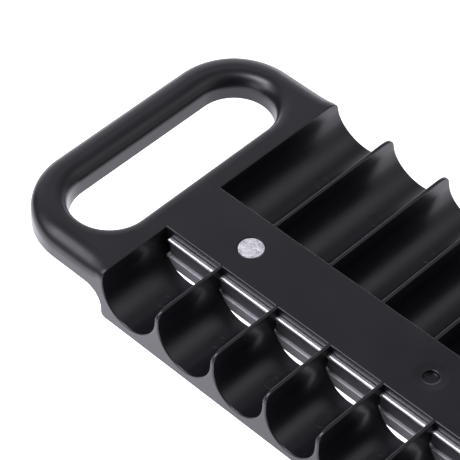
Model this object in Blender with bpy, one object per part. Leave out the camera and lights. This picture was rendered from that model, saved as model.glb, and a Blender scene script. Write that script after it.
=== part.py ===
"""Socket rail: a moulded tray with a carrying handle, a row of short and a row of long
socket bays, and a magnet bar riveted under the spine between them.

X runs along the rail away from the handle, Y from the short bays to the long ones, Z up.
The origin is on the floor below the middle of the rail. A depth is measured down from the
tray's level top. Lengths are in metres.
"""
import math
from collections import namedtuple

import bmesh
import bpy

MM = 0.001

# How far a cutter runs past the faces that it cuts
OVERRUN = 2.0 * MM
# Free space between pieces that touch on the real rail
SEAT_GAP = 0.3 * MM

# Tray, seen from the side
TRAY_HEIGHT = 27.7 * MM
TOP_FILLET = 4.8 * MM
WALL = 2.2 * MM
# Lean of the outer faces, as a share of the depth below the top
NEAR_LEAN_SHARE = 0.05
FAR_LEAN_SHARE = 0.15
END_LEAN_SHARE = 0.04
FOOT_RADIUS = 3.0 * MM

# Tray, seen from above
NEAR_BAY_LENGTH = 41.5 * MM
SPINE_WIDTH = 35.5 * MM
FAR_BAY_LENGTH = 81.4 * MM
END_WALL = 3.5 * MM
END_CORNER_RADIUS = 8.0 * MM
END_CORNER_CUT_SHARE = 0.6
# Most of a wall's half thickness that the rounds on its edges may take
EDGE_ROUND_SHARE = 0.8

# Spine plate
SPINE_THICKNESS = 3.9 * MM
GATE_RADIUS = 3.7 * MM
GATE_DEPTH = 0.9 * MM

# Bays, the widest one first
WIDEST_BAY = 34.5 * MM
BAY_WIDTH_SHARES = (
    1.0, 0.962, 0.875, 0.858, 0.812, 0.754, 0.71, 0.681, 0.652, 0.623, 0.623, 0.623, 0.618,
)
DIVIDER = 1.9 * MM
DRAFT_SHARE = 0.023
# Height of the round floors above the bench, from the first bay down to the last ones
FIRST_FLOOR_HEIGHT = 5.0 * MM
FLOOR_STEP = 0.33 * MM
FLOOR_HEIGHT = 3.9 * MM
RIM_RADIUS = 0.7 * MM

# Handle
HANDLE_BAR = 16.7 * MM
SLOT_WIDTH = 40.7 * MM
BRIDGE = 12.9 * MM
NEAR_ARM = 16.6 * MM
FAR_ARM = 18.5 * MM
HANDLE_THICKNESS = 12.8 * MM
HANDLE_CORNER_RADIUS = 38.5 * MM
SLOT_FILLET = 4.0 * MM
UNDERCUT_RADIUS = 10.5 * MM
FIRST_END_WALL = 0.4 * MM
CORE_SKIN = 2.8 * MM
CORE_ROOF = 3.2 * MM
CORE_END = 5.0 * MM
CORE_RIB = 1.8 * MM
CORE_RIB_ROOT = 1.0 * MM
CORE_RIB_RECESS = 1.0 * MM
CORE_RIBS_ALONG_BAR = 4

# Magnet bar
BAR_PROUD = 2.2 * MM
POCKET_INSET = 2.5 * MM
BAR_END_GAP = 0.8 * MM
UPPER_PLATE = 2.0 * MM
PLATE_EDGE_RADIUS = 0.4 * MM
MAGNET_HEIGHT = 8.3 * MM
MAGNET_DEPTH = 12.5 * MM
MAGNET_SETBACK = 1.0 * MM
MAGNET_SPACING = 0.8 * MM
MAGNET_CHAMFER = 0.4 * MM
CHANNEL_HEIGHT = 6.2 * MM
CHANNEL_SHEET = 1.5 * MM
CHANNEL_BEND_RADIUS = 1.8 * MM

# Rivets
RIVET_COUNT = 3
RIVET_INSET = 34.1 * MM
RIVET_HEAD_RADIUS = 6.3 * MM
RIVET_HEAD_THICKNESS = 1.1 * MM
RIVET_CROWN = 0.15 * MM
RIVET_SHANK_RADIUS = 2.5 * MM
RIVET_TAIL_RADIUS = 4.2 * MM
RIVET_TAIL_HEIGHT = 1.8 * MM

# Steps of the round forms
CORNER_STEPS = 12
FILLET_STEPS = 5
BAY_STEPS = 16
SLOT_END_STEPS = 18
RIM_STEPS = 2
BEND_STEPS = 4
ROUND_STEPS = 28

# Plan, worked out from the sizes above so that the origin is below the middle
HANDLE_REACH = HANDLE_BAR + SLOT_WIDTH + BRIDGE
BAYS_LENGTH = WIDEST_BAY * sum(BAY_WIDTH_SHARES) + DIVIDER * (len(BAY_WIDTH_SHARES) - 1)
RAIL_LENGTH = HANDLE_REACH + BAYS_LENGTH + END_WALL
RAIL_WIDTH = NEAR_BAY_LENGTH + SPINE_WIDTH + FAR_BAY_LENGTH
HANDLE_X = -(RAIL_LENGTH + END_LEAN_SHARE * (TRAY_HEIGHT - HANDLE_THICKNESS)) / 2
BAYS_START_X = HANDLE_X + HANDLE_REACH
BAYS_END_X = BAYS_START_X + BAYS_LENGTH
FAR_END_X = BAYS_END_X + END_WALL
TRAY_START_X = BAYS_START_X - FIRST_END_WALL
NEAR_FACE_Y = -(RAIL_WIDTH + (FAR_LEAN_SHARE - NEAR_LEAN_SHARE) * TRAY_HEIGHT) / 2
SPINE_NEAR_Y = NEAR_FACE_Y + NEAR_BAY_LENGTH
SPINE_FAR_Y = SPINE_NEAR_Y + SPINE_WIDTH
FAR_FACE_Y = SPINE_FAR_Y + FAR_BAY_LENGTH
SPINE_CENTRE_Y = (SPINE_NEAR_Y + SPINE_FAR_Y) / 2

# Depths of the magnet bar's layers, each a seat gap below the one above it
UPPER_PLATE_TOP = SPINE_THICKNESS + SEAT_GAP
MAGNET_TOP = UPPER_PLATE_TOP + UPPER_PLATE + SEAT_GAP
CHANNEL_TOP = MAGNET_TOP + MAGNET_HEIGHT + SEAT_GAP
BAR_START_X = BAYS_START_X + POCKET_INSET + BAR_END_GAP
BAR_END_X = BAYS_END_X - POCKET_INSET - BAR_END_GAP
BAR_REACH = SPINE_WIDTH / 2 + BAR_PROUD
RIVET_HOLE_RADIUS = RIVET_SHANK_RADIUS + SEAT_GAP

Bay = namedtuple("Bay", "x_lo x_hi centre floor radius centre_depth")
Row = namedtuple("Row", "name side inner_y face_y lean")

ROWS = (
    Row("near", -1, SPINE_NEAR_Y, NEAR_FACE_Y, NEAR_LEAN_SHARE),
    Row("far", 1, SPINE_FAR_Y, FAR_FACE_Y, FAR_LEAN_SHARE),
)


def lay_out_bays():
    """Place the bays side by side. Each has drafted walls that run into a round floor."""
    bays = []
    x_lo = BAYS_START_X
    for index, share in enumerate(BAY_WIDTH_SHARES):
        width = WIDEST_BAY * share
        floor = TRAY_HEIGHT - max(FIRST_FLOOR_HEIGHT - index * FLOOR_STEP, FLOOR_HEIGHT)
        radius = (width / 2 - DRAFT_SHARE * floor) / (1 - DRAFT_SHARE)
        bays.append(Bay(x_lo, x_lo + width, x_lo + width / 2, floor, radius, floor - radius))
        x_lo += width + DIVIDER
    return bays


def face_y(row, depth):
    """Y of a row's leaning outer face at a depth."""
    return row.face_y + row.side * row.lean * depth


def height(depth):
    """Height above the floor of a depth below the tray's top."""
    return TRAY_HEIGHT - depth


def arc(centre_x, centre_y, radius, start, end, steps):
    """Points of an arc, its angles in degrees and both ends included."""
    angles = [math.radians(start + (end - start) * step / steps) for step in range(steps + 1)]
    return [(centre_x + radius * math.cos(a), centre_y + radius * math.sin(a)) for a in angles]


def material(name, colour, roughness, metallic):
    """A plain material in the piece's own colour."""
    made = bpy.data.materials.new(name)
    made.use_nodes = True
    shader = made.node_tree.nodes["Principled BSDF"]
    shader.inputs["Base Color"].default_value = (*colour, 1.0)
    shader.inputs["Roughness"].default_value = roughness
    shader.inputs["Metallic"].default_value = metallic
    made.diffuse_color = (*colour, 1.0)
    return made


def add_object(name, mesh, finish=None, location=(0, 0, 0)):
    """Put a mesh in the scene under a name. A guide has no finish and is hidden."""
    placed = bpy.data.objects.new(name, mesh)
    placed.location = location
    bpy.context.scene.collection.objects.link(placed)
    if finish is None:
        placed.hide_render = True
        placed.display_type = "WIRE"
    elif not mesh.materials:
        mesh.materials.append(finish)
    return placed


def finish_mesh(name, shape, sharp_angle=35):
    """Turn a bmesh into a mesh with outward faces, smooth except at its sharp edges."""
    bmesh.ops.recalc_face_normals(shape, faces=shape.faces)
    mesh = bpy.data.meshes.new(name)
    shape.to_mesh(mesh)
    shape.free()
    mesh.shade_smooth()
    mesh.set_sharp_from_angle(angle=math.radians(sharp_angle))
    return mesh


def add_loft(shape, rings):
    """Skin a closed form over rings of points, with a flat cap on the first and last."""
    lines = [[shape.verts.new(point) for point in ring] for ring in rings]
    count = len(lines[0])
    for lower, upper in zip(lines, lines[1:]):
        for k in range(count):
            after = (k + 1) % count
            shape.faces.new((lower[k], lower[after], upper[after], upper[k]))
    shape.faces.new(lines[0])
    shape.faces.new(list(reversed(lines[-1])))


def loft_mesh(name, ring_sets, sharp_angle=35):
    """A mesh of one lofted form for each set of rings."""
    shape = bmesh.new()
    for rings in ring_sets:
        add_loft(shape, rings)
    return finish_mesh(name, shape, sharp_angle)


def box_rings(x_lo, x_hi, y_lo, y_hi, depth_top, depth_bottom):
    """The two rings of an upright box."""
    corners = ((x_lo, y_lo), (x_hi, y_lo), (x_hi, y_hi), (x_lo, y_hi))
    return [[(x, y, height(depth)) for x, y in corners] for depth in (depth_bottom, depth_top)]


def lathe_mesh(name, profile):
    """Turn a profile of radius and height, whose first and last points are on the axis."""
    shape = bmesh.new()
    rings = []
    for radius, level in profile[1:-1]:
        circle = arc(0, 0, radius, 0, 360, ROUND_STEPS)[:-1]
        rings.append([shape.verts.new((x, y, level)) for x, y in circle])
    ends = [shape.verts.new((0, 0, profile[0][1])), shape.verts.new((0, 0, profile[-1][1]))]
    for k in range(ROUND_STEPS):
        after = (k + 1) % ROUND_STEPS
        shape.faces.new((ends[0], rings[0][after], rings[0][k]))
        for upper, lower in zip(rings, rings[1:]):
            shape.faces.new((upper[k], upper[after], lower[after], lower[k]))
        shape.faces.new((ends[1], rings[-1][k], rings[-1][after]))
    return finish_mesh(name, shape)


def combine(target, guide, operation="DIFFERENCE"):
    """Cut a guide out of an object, or join it to the object."""
    step = target.modifiers.new(guide.name, "BOOLEAN")
    step.operation = operation
    step.solver = "EXACT"
    step.object = guide


def tray_ring(depth, grow):
    """The tray's outline at a depth: a rectangle with large corners at the handle."""
    x_lo = HANDLE_X - END_LEAN_SHARE * depth - grow
    x_hi = FAR_END_X + END_LEAN_SHARE * depth + grow
    y_lo = face_y(ROWS[0], depth) - grow
    y_hi = face_y(ROWS[1], depth) + grow
    large = HANDLE_CORNER_RADIUS + grow
    small = END_CORNER_RADIUS + grow
    outline = arc(x_lo + large, y_lo + large, large, 180, 270, CORNER_STEPS)
    outline += arc(x_hi - small, y_lo + small, small, 270, 360, CORNER_STEPS // 2)
    outline += arc(x_hi - small, y_hi - small, small, 0, 90, CORNER_STEPS // 2)
    outline += arc(x_lo + large, y_hi - large, large, 90, 180, CORNER_STEPS)
    return [(x, y, height(depth)) for x, y in outline]


def tray_block():
    """The tray's outer form before anything is taken out, its top edge rounded."""
    rings = []
    for inward, depth in arc(0, TOP_FILLET, TOP_FILLET, 270, 360, FILLET_STEPS):
        rings.append(tray_ring(depth, inward - TOP_FILLET))
    rings.append(tray_ring(TRAY_HEIGHT, 0))
    return loft_mesh("tray_moulding", [rings])


def undercut():
    """The space below the handle, which runs into the tray's end in a round."""
    corner_x = TRAY_START_X - UNDERCUT_RADIUS
    corner_depth = HANDLE_THICKNESS + UNDERCUT_RADIUS
    foot_x = TRAY_START_X + FOOT_RADIUS
    outline = [(HANDLE_X - END_LEAN_SHARE * TRAY_HEIGHT - OVERRUN, TRAY_HEIGHT + OVERRUN)]
    outline.append((outline[0][0], HANDLE_THICKNESS))
    outline += arc(corner_x, corner_depth, UNDERCUT_RADIUS, 270, 360, CORNER_STEPS)
    outline += arc(foot_x, TRAY_HEIGHT - FOOT_RADIUS, FOOT_RADIUS, 180, 90, FILLET_STEPS)
    outline.append((foot_x, TRAY_HEIGHT + OVERRUN))
    ends = (face_y(ROWS[0], TRAY_HEIGHT) - OVERRUN, face_y(ROWS[1], TRAY_HEIGHT) + OVERRUN)
    rings = [[(x, y, height(depth)) for x, depth in outline] for y in ends]
    return loft_mesh("handle_undercut", [rings])


def slot_outline(grow):
    """The hand slot's outline, straight with round ends."""
    radius = SLOT_WIDTH / 2
    centre_x = HANDLE_X + HANDLE_BAR + radius
    near_y = NEAR_FACE_Y + NEAR_ARM + radius
    far_y = FAR_FACE_Y - FAR_ARM - radius
    outline = arc(centre_x, near_y, radius + grow, 180, 360, SLOT_END_STEPS)
    outline += arc(centre_x, far_y, radius + grow, 0, 180, SLOT_END_STEPS)
    return outline


def slot():
    """The hand slot, drafted, with a round upper rim."""
    levels = [(HANDLE_THICKNESS + OVERRUN, 0)]
    for outward, depth in arc(SLOT_FILLET, SLOT_FILLET, SLOT_FILLET, 180, 270, FILLET_STEPS):
        levels.append((depth, outward + DRAFT_SHARE * (HANDLE_THICKNESS - SLOT_FILLET)))
    levels.append((-OVERRUN, levels[-1][1]))
    rings = [[(x, y, height(depth)) for x, y in slot_outline(grow)] for depth, grow in levels]
    return loft_mesh("hand_slot", [rings])


def core_outline():
    """The hollow under the handle's bar and arms, an even skin in from both sides."""
    radius = HANDLE_CORNER_RADIUS - CORE_SKIN
    end_x = BAYS_START_X - BRIDGE - CORE_END
    near_y = NEAR_FACE_Y + CORE_SKIN
    far_y = FAR_FACE_Y - CORE_SKIN
    corner_x = HANDLE_X + HANDLE_CORNER_RADIUS
    outline = [(end_x, far_y)]
    outline += arc(corner_x, far_y - radius, radius, 90, 180, CORNER_STEPS)
    outline += arc(corner_x, near_y + radius, radius, 180, 270, CORNER_STEPS)
    outline.append((end_x, near_y))
    inner = SLOT_WIDTH / 2 + CORE_SKIN
    slot_x = HANDLE_X + HANDLE_BAR + SLOT_WIDTH / 2
    opening = math.degrees(math.acos((end_x - slot_x) / inner))
    near_centre_y = NEAR_FACE_Y + NEAR_ARM + SLOT_WIDTH / 2
    far_centre_y = FAR_FACE_Y - FAR_ARM - SLOT_WIDTH / 2
    outline += arc(slot_x, near_centre_y, inner, 360 - opening, 180, SLOT_END_STEPS)
    outline += arc(slot_x, far_centre_y, inner, 180, opening, SLOT_END_STEPS)
    return outline


def handle_core():
    """The hollow that keeps the handle's walls even, open below."""
    outline = core_outline()
    levels = (HANDLE_THICKNESS + OVERRUN, CORE_ROOF)
    rings = [[(x, y, height(depth)) for x, y in outline] for depth in levels]
    return loft_mesh("handle_core", [rings])


def core_ribs():
    """Ribs across the handle's hollow, along the bar and one in each arm."""
    low = HANDLE_THICKNESS - CORE_RIB_RECESS
    roof = CORE_ROOF - CORE_RIB_ROOT
    skin = CORE_SKIN - CORE_RIB_ROOT
    half = CORE_RIB / 2
    slot_x_lo = HANDLE_X + HANDLE_BAR
    slot_y_lo = NEAR_FACE_Y + NEAR_ARM
    slot_y_hi = FAR_FACE_Y - FAR_ARM
    straight = slot_y_hi - slot_y_lo - SLOT_WIDTH
    ribs = []
    for rib in range(CORE_RIBS_ALONG_BAR):
        y = slot_y_lo + SLOT_WIDTH / 2 + straight * rib / (CORE_RIBS_ALONG_BAR - 1)
        ribs.append(box_rings(HANDLE_X + skin, slot_x_lo - skin, y - half, y + half, roof, low))
    x = slot_x_lo + SLOT_WIDTH / 2
    for y_lo, y_hi in ((NEAR_FACE_Y, slot_y_lo), (slot_y_hi, FAR_FACE_Y)):
        ribs.append(box_rings(x - half, x + half, y_lo + skin, y_hi - skin, roof, low))
    return loft_mesh("handle_ribs", ribs)


def bay_profile(bay, grow):
    """Half round with drafted walls above, as points of X and depth, left to right."""
    spread = DRAFT_SHARE * (bay.centre_depth + OVERRUN)
    reach = bay.radius + grow
    profile = [(bay.centre - reach - spread, -OVERRUN)]
    profile += arc(bay.centre, bay.centre_depth, reach, 180, 0, BAY_STEPS)
    profile.append((bay.centre + reach + spread, -OVERRUN))
    return profile


def bay_rings(row, bay):
    """Rings of one bay from the spine's edge to past the outer face, flared at its mouth."""
    rim = min(RIM_RADIUS, DIVIDER / 2 * EDGE_ROUND_SHARE)
    rings = [[(x, row.inner_y, height(depth)) for x, depth in bay_profile(bay, 0)]]
    for outward, inset in arc(rim, rim, rim, 180, 270, RIM_STEPS):
        rings.append([
            (x, face_y(row, depth) - row.side * inset, height(depth))
            for x, depth in bay_profile(bay, outward)
        ])
    rings.append([
        (x, face_y(row, depth) + row.side * OVERRUN, height(depth))
        for x, depth in bay_profile(bay, rim)
    ])
    return rings


def crossing(left, right):
    """Lower crossing of the outer sides of two neighbouring bay shells, X and depth."""
    reach_left = left.radius + WALL
    reach_right = right.radius + WALL
    run = right.centre - left.centre
    drop = right.centre_depth - left.centre_depth
    distance = math.hypot(run, drop)
    along = (distance ** 2 + reach_left ** 2 - reach_right ** 2) / (2 * distance)
    aside = math.sqrt(max(reach_left ** 2 - along ** 2, 0))
    x = left.centre + (along * run - aside * drop) / distance
    depth = left.centre_depth + (along * drop + aside * run) / distance
    return x, depth


def shell_depth(bay, x):
    """Depth of the underside of a bay's shell at an X."""
    reach = bay.radius + WALL
    return bay.centre_depth + math.sqrt(max(reach ** 2 - (x - bay.centre) ** 2, 0))


def underside_profile(bays, x_hi):
    """The hollow below the bays: scalloped above, where it follows the bays' shells."""
    x_lo = TRAY_START_X + WALL
    starts = [(x_lo, shell_depth(bays[0], x_lo))]
    starts += [crossing(left, right) for left, right in zip(bays, bays[1:])]
    ends = starts[1:] + [(x_hi, shell_depth(bays[-1], x_hi))]
    profile = [(x_lo, TRAY_HEIGHT + OVERRUN)]
    for bay, start, end in zip(bays, starts, ends):
        first = math.degrees(math.atan2(start[1] - bay.centre_depth, start[0] - bay.centre))
        last = math.degrees(math.atan2(end[1] - bay.centre_depth, end[0] - bay.centre))
        points = arc(bay.centre, bay.centre_depth, bay.radius + WALL, first, last, BAY_STEPS // 2)
        profile += points if bay is bays[0] else points[1:]
    profile.append((x_hi, TRAY_HEIGHT + OVERRUN))
    return profile


def underside_rings(row, bays):
    """The hollow from the pocket's wall to the outer wall, clipped at the round corner."""
    x_hi = FAR_END_X - WALL
    cut = (END_CORNER_RADIUS - WALL) * END_CORNER_CUT_SHARE
    inner_y = row.inner_y + row.side * (BAR_PROUD + SEAT_GAP + WALL)
    full = underside_profile(bays, x_hi)
    clipped = underside_profile(bays, x_hi - cut)
    rings = [[(x, inner_y, height(depth)) for x, depth in full]]
    for profile, inset in ((full, WALL + cut), (clipped, WALL)):
        rings.append([
            (x, face_y(row, depth) - row.side * inset, height(depth)) for x, depth in profile
        ])
    return rings


def pocket():
    """The space under the spine that holds the magnet bar, open below."""
    reach = BAR_REACH + SEAT_GAP
    rings = box_rings(
        BAYS_START_X + POCKET_INSET, BAYS_END_X - POCKET_INSET,
        SPINE_CENTRE_Y - reach, SPINE_CENTRE_Y + reach,
        SPINE_THICKNESS, TRAY_HEIGHT + OVERRUN,
    )
    return loft_mesh("bar_pocket", [rings])


def round_hole(x, radius, depth_top, depth_bottom):
    """The two rings of a round hole on the spine's centre line."""
    circle = arc(x, SPINE_CENTRE_Y, radius, 0, 360, ROUND_STEPS)[:-1]
    return [[(px, py, height(depth)) for px, py in circle] for depth in (depth_bottom, depth_top)]


def rivet_places():
    """X of each rivet, the first and last at one distance from the bar's ends."""
    first = BAR_START_X + RIVET_INSET
    last = BAR_END_X - RIVET_INSET
    return [first + (last - first) * rivet / (RIVET_COUNT - 1) for rivet in range(RIVET_COUNT)]


def build_tray(bays, finish):
    """The moulding: everything is taken out of one block, as the mould leaves it."""
    tray = add_object("tray_moulding", tray_block(), finish)
    combine(tray, add_object("cut_undercut", undercut()))
    combine(tray, add_object("cut_hand_slot", slot()))
    combine(tray, add_object("cut_handle_core", handle_core()))
    combine(tray, add_object("add_handle_ribs", core_ribs()), "UNION")
    for row in ROWS:
        troughs = loft_mesh("bays", [bay_rings(row, bay) for bay in bays])
        combine(tray, add_object("cut_bays_" + row.name, troughs))
        hollow = loft_mesh("underside", [underside_rings(row, bays)])
        combine(tray, add_object("cut_underside_" + row.name, hollow))
    combine(tray, add_object("cut_pocket", pocket()))
    seats = []
    holes = []
    for x in rivet_places():
        head_floor = RIVET_HEAD_THICKNESS + SEAT_GAP
        seats.append(round_hole(x, RIVET_HEAD_RADIUS + SEAT_GAP, -OVERRUN, head_floor))
        holes.append(round_hole(x, RIVET_HOLE_RADIUS, -OVERRUN, SPINE_THICKNESS + OVERRUN))
    middle = (HANDLE_X + FAR_END_X) / 2
    seats.append(round_hole(middle, GATE_RADIUS, -OVERRUN, GATE_DEPTH))
    combine(tray, add_object("cut_rivet_seats", loft_mesh("rivet_seats", seats)))
    combine(tray, add_object("cut_rivet_holes", loft_mesh("rivet_holes", holes)))
    return tray


def bar_rings(profile):
    """A profile of Y and depth run along the whole magnet bar."""
    return [
        [(x, SPINE_CENTRE_Y + y, height(depth)) for y, depth in profile]
        for x in (BAR_START_X, BAR_END_X)
    ]


def plate_profile():
    """Section of the upper plate, its long edges rounded."""
    radius = min(PLATE_EDGE_RADIUS, UPPER_PLATE / 2 * EDGE_ROUND_SHARE)
    y = BAR_REACH - radius
    top = UPPER_PLATE_TOP + radius
    bottom = UPPER_PLATE_TOP + UPPER_PLATE - radius
    steps = BEND_STEPS // 2
    profile = arc(y, top, radius, 270, 360, steps) + arc(y, bottom, radius, 0, 90, steps)
    profile += arc(-y, bottom, radius, 90, 180, steps) + arc(-y, top, radius, 180, 270, steps)
    return profile


def channel_profile():
    """Section of the channel: a web with two flanges bent down."""
    outer = CHANNEL_BEND_RADIUS
    inner = max(CHANNEL_BEND_RADIUS - CHANNEL_SHEET, CHANNEL_SHEET / 6)
    bottom = CHANNEL_TOP + CHANNEL_HEIGHT
    inner_y = BAR_REACH - CHANNEL_SHEET
    inner_top = CHANNEL_TOP + CHANNEL_SHEET
    profile = [(-BAR_REACH, bottom)]
    profile += arc(-BAR_REACH + outer, CHANNEL_TOP + outer, outer, 180, 270, BEND_STEPS)
    profile += arc(BAR_REACH - outer, CHANNEL_TOP + outer, outer, 270, 360, BEND_STEPS)
    profile += [(BAR_REACH, bottom), (inner_y, bottom)]
    profile += arc(inner_y - inner, inner_top + inner, inner, 0, -90, BEND_STEPS // 2)
    profile += arc(-inner_y + inner, inner_top + inner, inner, -90, -180, BEND_STEPS // 2)
    profile.append((-inner_y, bottom))
    return profile


def build_steel(name, profile, depth_top, finish):
    """A steel piece of the magnet bar, with a hole for each rivet."""
    steel = add_object(name, loft_mesh(name, [bar_rings(profile)]), finish)
    span = (depth_top - OVERRUN, depth_top + max(UPPER_PLATE, CHANNEL_SHEET) + OVERRUN)
    holes = [round_hole(x, RIVET_HOLE_RADIUS, *span) for x in rivet_places()]
    combine(steel, add_object("cut_holes_" + name, loft_mesh("holes", holes)))
    return steel


def magnet_mesh(name, length):
    """One block magnet about its own middle, its edges slightly broken."""
    shape = bmesh.new()
    bmesh.ops.create_cube(shape, size=1)
    bmesh.ops.scale(shape, vec=(length, MAGNET_DEPTH, MAGNET_HEIGHT), verts=shape.verts)
    bmesh.ops.bevel(
        shape, geom=shape.edges[:], offset=MAGNET_CHAMFER, segments=1, affect="EDGES",
    )
    return finish_mesh(name, shape, 20)


def build_magnets(bays, finish):
    """One magnet at the inner end of each bay, the near and far rows alike."""
    places = [BAR_START_X - MAGNET_SPACING / 2]
    places += [bay.x_lo - DIVIDER / 2 for bay in bays[1:]]
    places.append(BAR_END_X + MAGNET_SPACING / 2)
    middle_depth = MAGNET_TOP + MAGNET_HEIGHT / 2
    reach = BAR_REACH - MAGNET_SETBACK - MAGNET_DEPTH / 2
    for number, (x_lo, x_hi) in enumerate(zip(places, places[1:]), start=1):
        mesh = magnet_mesh(f"magnet_{number:02d}", x_hi - x_lo - MAGNET_SPACING)
        for row in ROWS:
            middle_y = SPINE_CENTRE_Y + row.side * reach
            location = ((x_lo + x_hi) / 2, middle_y, height(middle_depth))
            add_object(f"magnet_{row.name}_{number:02d}", mesh, finish, location)


def rivet_profile():
    """A flush crowned head, the shank, and the tail headed over below the channel's web."""
    web_bottom = -(CHANNEL_TOP + CHANNEL_SHEET + SEAT_GAP)
    tail_bottom = web_bottom - RIVET_TAIL_HEIGHT
    head_bottom = -RIVET_HEAD_THICKNESS
    return [
        (0, 0),
        (RIVET_HEAD_RADIUS / 2, -RIVET_CROWN / 4),
        (RIVET_HEAD_RADIUS - RIVET_CROWN, -RIVET_CROWN),
        (RIVET_HEAD_RADIUS, -RIVET_CROWN * 2),
        (RIVET_HEAD_RADIUS, head_bottom),
        (RIVET_SHANK_RADIUS, head_bottom),
        (RIVET_SHANK_RADIUS, web_bottom),
        (RIVET_TAIL_RADIUS, web_bottom),
        (RIVET_TAIL_RADIUS, web_bottom - RIVET_TAIL_HEIGHT / 3),
        (RIVET_TAIL_RADIUS * 0.7, tail_bottom + RIVET_TAIL_HEIGHT / 5),
        (0, tail_bottom),
    ]


def build_rivets(finish):
    """The rivets that hold the magnet bar under the spine."""
    mesh = lathe_mesh("rivet", rivet_profile())
    for number, x in enumerate(rivet_places(), start=1):
        add_object(f"rivet_{number}", mesh, finish, (x, SPINE_CENTRE_Y, TRAY_HEIGHT))


def main():
    """Clear the scene and build the rail."""
    for old in list(bpy.data.objects):
        bpy.data.objects.remove(old, do_unlink=True)
    plastic = material("black_moulded_plastic", (0.02, 0.02, 0.022), 0.45, 0.0)
    plated = material("plated_steel", (0.62, 0.61, 0.6), 0.25, 1.0)
    ferrite = material("ferrite", (0.05, 0.048, 0.05), 0.6, 0.0)
    aluminium = material("aluminium", (0.75, 0.75, 0.76), 0.4, 1.0)
    bays = lay_out_bays()
    build_tray(bays, plastic)
    build_steel("upper_pole_plate", plate_profile(), UPPER_PLATE_TOP, plated)
    build_steel("lower_pole_channel", channel_profile(), CHANNEL_TOP, plated)
    build_magnets(bays, ferrite)
    build_rivets(aluminium)


main()
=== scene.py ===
"""Looks of the socket rail: a black moulded tray with a carrying handle, two rows of socket
bays and a riveted magnet bar, on a pale floor in soft studio light.

X runs along the rail away from the handle, Y from the short bays to the long ones, Z up.
Lengths are in metres. A depth is measured down from the tray's level top.
"""

import math
from collections import namedtuple

import bmesh
import bpy
from mathutils import Matrix, Vector


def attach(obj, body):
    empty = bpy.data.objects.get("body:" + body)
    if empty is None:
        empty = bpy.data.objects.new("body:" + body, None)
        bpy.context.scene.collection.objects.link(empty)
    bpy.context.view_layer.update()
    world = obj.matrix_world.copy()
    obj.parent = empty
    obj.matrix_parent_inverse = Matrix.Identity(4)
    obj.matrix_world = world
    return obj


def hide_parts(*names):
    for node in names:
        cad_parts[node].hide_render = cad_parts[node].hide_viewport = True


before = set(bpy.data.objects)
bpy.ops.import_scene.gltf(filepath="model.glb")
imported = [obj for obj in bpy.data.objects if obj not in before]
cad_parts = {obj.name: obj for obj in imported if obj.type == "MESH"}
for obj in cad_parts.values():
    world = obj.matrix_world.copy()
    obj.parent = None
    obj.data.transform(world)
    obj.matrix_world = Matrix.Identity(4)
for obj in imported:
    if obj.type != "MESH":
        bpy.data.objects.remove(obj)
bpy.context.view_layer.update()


# Tray moulding
# One injection moulding in black polypropylene. The bays, the hand slot and the hollows
# below are left by the mould, whose cavity was eroded to a fine satin grain. Every edge that
# a hand meets is rounded, and the handle is slightly crowned.
MM = 0.001

# Outer form
TRAY_HEIGHT = 27.7 * MM
HANDLE_X = -217.4928 * MM
BAYS_START_X = -147.1928 * MM
BAYS_END_X = 213.3967 * MM
FAR_END_X = 216.8967 * MM
TRAY_START_X = BAYS_START_X - 0.4 * MM
NEAR_FACE_Y = -80.585 * MM
SPINE_NEAR_Y = -39.085 * MM
SPINE_FAR_Y = -3.585 * MM
SPINE_CENTRE_Y = (SPINE_NEAR_Y + SPINE_FAR_Y) / 2
FAR_FACE_Y = 77.815 * MM
NEAR_LEAN = 0.05
FAR_LEAN = 0.15
END_LEAN = 0.04
HANDLE_CORNER = 37.5 * MM
HANDLE_CORNER_STEPS = 28
END_CORNER = 8.0 * MM
END_CORNER_STEPS = 10
OUTER_FILLET = 4.7 * MM
NEAR_GRIP_FILLET = 8.0 * MM
FAR_GRIP_FILLET = 7.0 * MM
# Where the handle's fuller rounds run out into the tray's, and the share gone at each place
GRIP_ENDS = tuple(BAYS_START_X - ahead * MM for ahead in (18, 11, 6, 2.5))
GRIP_RUN_OUT = (0.0, 0.1, 0.35, 1.0)
CROWN_RADIUS = 18.0 * MM
CROWN_TILT = 13.0
CROWN_STEPS = 4
FILLET_STEPS = 9
FOOT_ROUND = 0.3 * MM

# Handle
HANDLE_THICKNESS = 12.8 * MM
HANDLE_BAR = 17.3 * MM
NEAR_ARM = 16.9 * MM
FAR_ARM = 18.5 * MM
SLOT_WIDTH = 40.2 * MM
SLOT_STEPS = 36
SLOT_LIP = 0.25 * MM
# The slot's upper round by direction from +X towards +Y: fullest at its far end, where its
# crown is faded out the most
SLOT_FILLETS = ((0, 3.0 * MM), (90, 8.0 * MM), (180, 6.0 * MM), (270, 2.6 * MM), (360, 3.0 * MM))
SLOT_TILT = 10.0
FULL_CROWN_TO = 6.0 * MM
NO_CROWN_FROM = 9.0 * MM
UNDERCUT_RADIUS = 10.5 * MM
UNDERCUT_STEPS = 16
FOOT_RADIUS = 3.0 * MM
FOOT_STEPS = 8
PAST_HANDLE = 5.0 * MM
ALL_ACROSS = 100.0 * MM
CORE_SKIN = 2.8 * MM
CORE_ROOF = 3.4 * MM
CORE_SHOULDER = 6.5 * MM
CORE_NARROWING = 2.6 * MM
CORE_TO_BAYS = 17.9 * MM
CORE_CORNER_STEPS = 20
CORE_SLOT_STEPS = 24
CORE_RIB = 1.8 * MM
RIB_BITE = 1.0 * MM
RIB_ROOF = 2.8 * MM

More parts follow.
